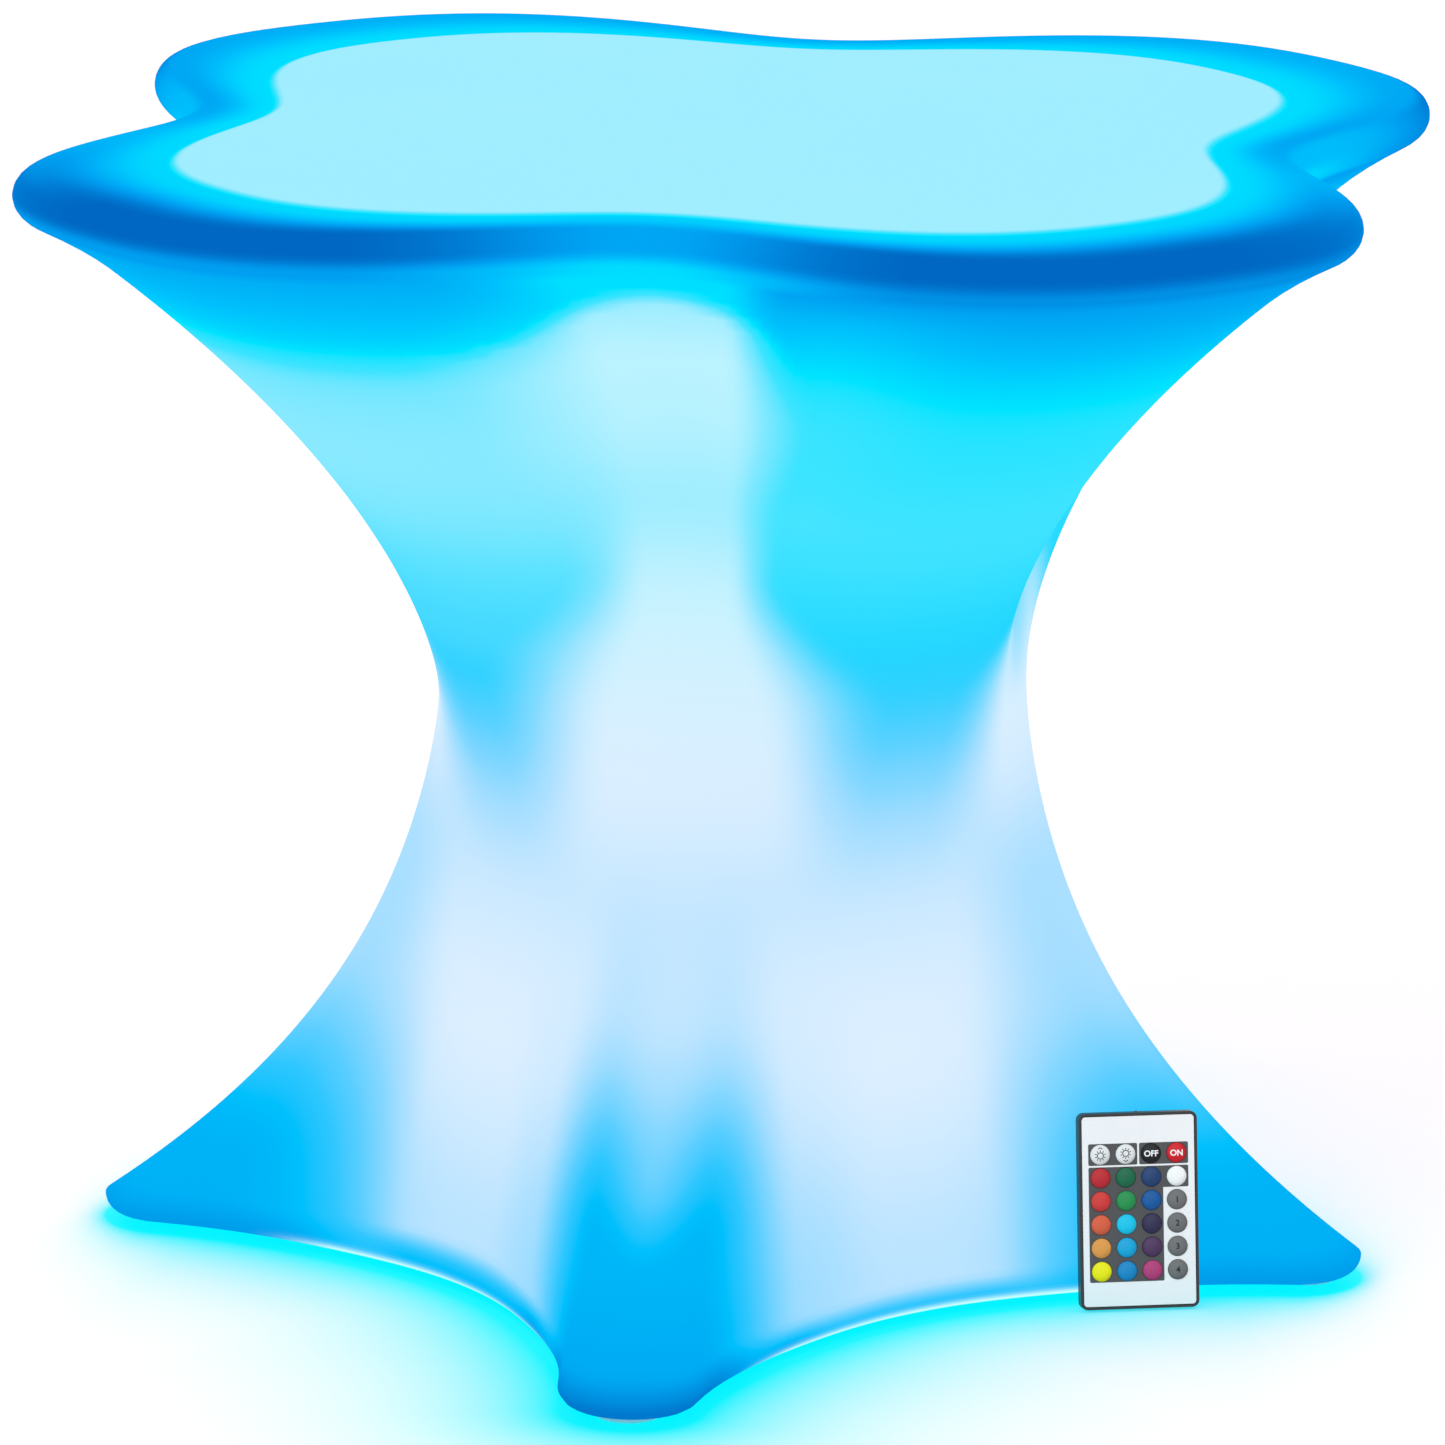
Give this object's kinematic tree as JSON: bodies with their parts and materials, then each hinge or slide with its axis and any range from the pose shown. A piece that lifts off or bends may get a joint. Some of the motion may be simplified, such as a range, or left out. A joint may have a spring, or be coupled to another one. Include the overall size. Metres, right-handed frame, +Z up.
{
  "type": "light-up side table",
  "caption": "Light-up side table: hollow glowing shell with a star-shaped foot and clover-shaped top, rubber pads, a sealed light unit in its underside and a keyed remote control.",
  "frame": {"origin": "on the floor, under the middle of the tabletop", "axes": "+Z up; the four feet point along X and Y, the four lobes of the top along the diagonals"},
  "size_m": [0.568, 0.568, 0.5],
  "materials": {
    "glowing_plastic": "satin translucent moulding, lit from inside, sky blue with a whitish middle",
    "white_plastic": "satin moulding",
    "black_plastic": "satin moulding",
    "frosted_plastic": "frosted diffuser",
    "pad_rubber": "matt, milky",
    "seal_silicone": "matt translucent",
    "bright_steel": "bright",
    "board_green": "solder resist",
    "board_white": "solder resist",
    "cell_wrap": "shrink sleeve",
    "lead_red": "smooth insulation",
    "clear_lens": "polished",
    "key_brighter": "glossy domed key",
    "key_dimmer": "glossy domed key",
    "key_off": "glossy domed key",
    "key_on": "glossy domed key",
    "key_red": "glossy domed key",
    "key_green": "glossy domed key",
    "key_blue": "glossy domed key",
    "key_white": "glossy domed key",
    "key_scarlet": "glossy domed key",
    "key_leaf": "glossy domed key",
    "key_azure": "glossy domed key",
    "key_flash": "glossy domed key",
    "key_coral": "glossy domed key",
    "key_cyan": "glossy domed key",
    "key_indigo": "glossy domed key",
    "key_strobe": "glossy domed key",
    "key_amber": "glossy domed key",
    "key_sky": "glossy domed key",
    "key_violet": "glossy domed key",
    "key_fade": "glossy domed key",
    "key_yellow": "glossy domed key",
    "key_ocean": "glossy domed key",
    "key_magenta": "glossy domed key",
    "key_smooth": "glossy domed key"
  },
  "bodies": {
    "table": {"table_shell": "glowing_plastic", "floor_pad_1": "pad_rubber", "floor_pad_2": "pad_rubber", "floor_pad_3": "pad_rubber", "floor_pad_4": "pad_rubber", "housing_screw_1": "bright_steel", "housing_screw_2": "bright_steel", "housing_screw_3": "bright_steel", "housing_screw_4": "bright_steel", "seat_gasket": "seal_silicone", "light_housing": "white_plastic", "lamp_dome": "frosted_plastic", "led_board": "board_white", "infrared_receiver": "black_plastic", "control_board": "board_green", "battery_cell_1": "cell_wrap", "battery_cell_2": "cell_wrap", "battery_holder": "black_plastic", "battery_lead": "lead_red", "led_lead": "lead_red", "power_switch": "black_plastic", "charging_socket": "black_plastic", "socket_nut": "bright_steel", "plug_strap": "pad_rubber", "charge_light": "clear_lens"},
    "power_button": {"power_button": "black_plastic"},
    "port_plug": {"port_plug": "pad_rubber"},
    "remote": {"remote_back": "black_plastic", "remote_face": "white_plastic", "key_mat": "seal_silicone", "remote_board": "board_green", "infrared_emitter": "clear_lens"},
    "battery_drawer": {"battery_tray": "black_plastic", "coin_cell": "bright_steel"},
    "key_brighter": {"key_brighter": "key_brighter"},
    "key_dimmer": {"key_dimmer": "key_dimmer"},
    "key_off": {"key_off": "key_off"},
    "key_on": {"key_on": "key_on"},
    "key_red": {"key_red": "key_red"},
    "key_green": {"key_green": "key_green"},
    "key_blue": {"key_blue": "key_blue"},
    "key_white": {"key_white": "key_white"},
    "key_scarlet": {"key_scarlet": "key_scarlet"},
    "key_leaf": {"key_leaf": "key_leaf"},
    "key_azure": {"key_azure": "key_azure"},
    "key_flash": {"key_flash": "key_flash"},
    "key_coral": {"key_coral": "key_coral"},
    "key_cyan": {"key_cyan": "key_cyan"},
    "key_indigo": {"key_indigo": "key_indigo"},
    "key_strobe": {"key_strobe": "key_strobe"},
    "key_amber": {"key_amber": "key_amber"},
    "key_sky": {"key_sky": "key_sky"},
    "key_violet": {"key_violet": "key_violet"},
    "key_fade": {"key_fade": "key_fade"},
    "key_yellow": {"key_yellow": "key_yellow"},
    "key_ocean": {"key_ocean": "key_ocean"},
    "key_magenta": {"key_magenta": "key_magenta"},
    "key_smooth": {"key_smooth": "key_smooth"}
  },
  "joints": [
    {"name": "power_button_press", "type": "slide", "parent": "table", "child": "power_button", "axis": [0, 0, 1], "range_m": [0, 0.0015], "stiffness_N_per_m": 800, "springref_m": -0.001},
    {"name": "port_plug_hinge", "type": "hinge", "parent": "table", "child": "port_plug", "pos_m": [0.012, -0.0173, 0.0212], "axis": [1, 0, 0], "range_deg": [0, 110]},
    {"name": "remote_lift", "type": "slide", "parent": "table", "child": "remote", "axis": [0, 0, 1], "range_m": [0, 0.12]},
    {"name": "battery_drawer_pull", "type": "slide", "parent": "remote", "child": "battery_drawer", "axis": [0.0539, -0.1659, -0.9847], "range_m": [0, 0.026]},
    {"name": "key_brighter_press", "type": "slide", "parent": "remote", "child": "key_brighter", "axis": [-0.3043, 0.9365, -0.1744], "range_m": [0, 0.0004], "stiffness_N_per_m": 400, "springref_m": -0.001},
    {"name": "key_dimmer_press", "type": "slide", "parent": "remote", "child": "key_dimmer", "axis": [-0.3043, 0.9365, -0.1744], "range_m": [0, 0.0004], "stiffness_N_per_m": 400, "springref_m": -0.001},
    {"name": "key_off_press", "type": "slide", "parent": "remote", "child": "key_off", "axis": [-0.3043, 0.9365, -0.1744], "range_m": [0, 0.0004], "stiffness_N_per_m": 400, "springref_m": -0.001},
    {"name": "key_on_press", "type": "slide", "parent": "remote", "child": "key_on", "axis": [-0.3043, 0.9365, -0.1744], "range_m": [0, 0.0004], "stiffness_N_per_m": 400, "springref_m": -0.001},
    {"name": "key_red_press", "type": "slide", "parent": "remote", "child": "key_red", "axis": [-0.3043, 0.9365, -0.1744], "range_m": [0, 0.0004], "stiffness_N_per_m": 400, "springref_m": -0.001},
    {"name": "key_green_press", "type": "slide", "parent": "remote", "child": "key_green", "axis": [-0.3043, 0.9365, -0.1744], "range_m": [0, 0.0004], "stiffness_N_per_m": 400, "springref_m": -0.001},
    {"name": "key_blue_press", "type": "slide", "parent": "remote", "child": "key_blue", "axis": [-0.3043, 0.9365, -0.1744], "range_m": [0, 0.0004], "stiffness_N_per_m": 400, "springref_m": -0.001},
    {"name": "key_white_press", "type": "slide", "parent": "remote", "child": "key_white", "axis": [-0.3043, 0.9365, -0.1744], "range_m": [0, 0.0004], "stiffness_N_per_m": 400, "springref_m": -0.001},
    {"name": "key_scarlet_press", "type": "slide", "parent": "remote", "child": "key_scarlet", "axis": [-0.3043, 0.9365, -0.1744], "range_m": [0, 0.0004], "stiffness_N_per_m": 400, "springref_m": -0.001},
    {"name": "key_leaf_press", "type": "slide", "parent": "remote", "child": "key_leaf", "axis": [-0.3043, 0.9365, -0.1744], "range_m": [0, 0.0004], "stiffness_N_per_m": 400, "springref_m": -0.001},
    {"name": "key_azure_press", "type": "slide", "parent": "remote", "child": "key_azure", "axis": [-0.3043, 0.9365, -0.1744], "range_m": [0, 0.0004], "stiffness_N_per_m": 400, "springref_m": -0.001},
    {"name": "key_flash_press", "type": "slide", "parent": "remote", "child": "key_flash", "axis": [-0.3043, 0.9365, -0.1744], "range_m": [0, 0.0004], "stiffness_N_per_m": 400, "springref_m": -0.001},
    {"name": "key_coral_press", "type": "slide", "parent": "remote", "child": "key_coral", "axis": [-0.3043, 0.9365, -0.1744], "range_m": [0, 0.0004], "stiffness_N_per_m": 400, "springref_m": -0.001},
    {"name": "key_cyan_press", "type": "slide", "parent": "remote", "child": "key_cyan", "axis": [-0.3043, 0.9365, -0.1744], "range_m": [0, 0.0004], "stiffness_N_per_m": 400, "springref_m": -0.001},
    {"name": "key_indigo_press", "type": "slide", "parent": "remote", "child": "key_indigo", "axis": [-0.3043, 0.9365, -0.1744], "range_m": [0, 0.0004], "stiffness_N_per_m": 400, "springref_m": -0.001},
    {"name": "key_strobe_press", "type": "slide", "parent": "remote", "child": "key_strobe", "axis": [-0.3043, 0.9365, -0.1744], "range_m": [0, 0.0004], "stiffness_N_per_m": 400, "springref_m": -0.001},
    {"name": "key_amber_press", "type": "slide", "parent": "remote", "child": "key_amber", "axis": [-0.3043, 0.9365, -0.1744], "range_m": [0, 0.0004], "stiffness_N_per_m": 400, "springref_m": -0.001},
    {"name": "key_sky_press", "type": "slide", "parent": "remote", "child": "key_sky", "axis": [-0.3043, 0.9365, -0.1744], "range_m": [0, 0.0004], "stiffness_N_per_m": 400, "springref_m": -0.001},
    {"name": "key_violet_press", "type": "slide", "parent": "remote", "child": "key_violet", "axis": [-0.3043, 0.9365, -0.1744], "range_m": [0, 0.0004], "stiffness_N_per_m": 400, "springref_m": -0.001},
    {"name": "key_fade_press", "type": "slide", "parent": "remote", "child": "key_fade", "axis": [-0.3043, 0.9365, -0.1744], "range_m": [0, 0.0004], "stiffness_N_per_m": 400, "springref_m": -0.001},
    {"name": "key_yellow_press", "type": "slide", "parent": "remote", "child": "key_yellow", "axis": [-0.3043, 0.9365, -0.1744], "range_m": [0, 0.0004], "stiffness_N_per_m": 400, "springref_m": -0.001},
    {"name": "key_ocean_press", "type": "slide", "parent": "remote", "child": "key_ocean", "axis": [-0.3043, 0.9365, -0.1744], "range_m": [0, 0.0004], "stiffness_N_per_m": 400, "springref_m": -0.001},
    {"name": "key_magenta_press", "type": "slide", "parent": "remote", "child": "key_magenta", "axis": [-0.3043, 0.9365, -0.1744], "range_m": [0, 0.0004], "stiffness_N_per_m": 400, "springref_m": -0.001},
    {"name": "key_smooth_press", "type": "slide", "parent": "remote", "child": "key_smooth", "axis": [-0.3043, 0.9365, -0.1744], "range_m": [0, 0.0004], "stiffness_N_per_m": 400, "springref_m": -0.001}
  ]
}
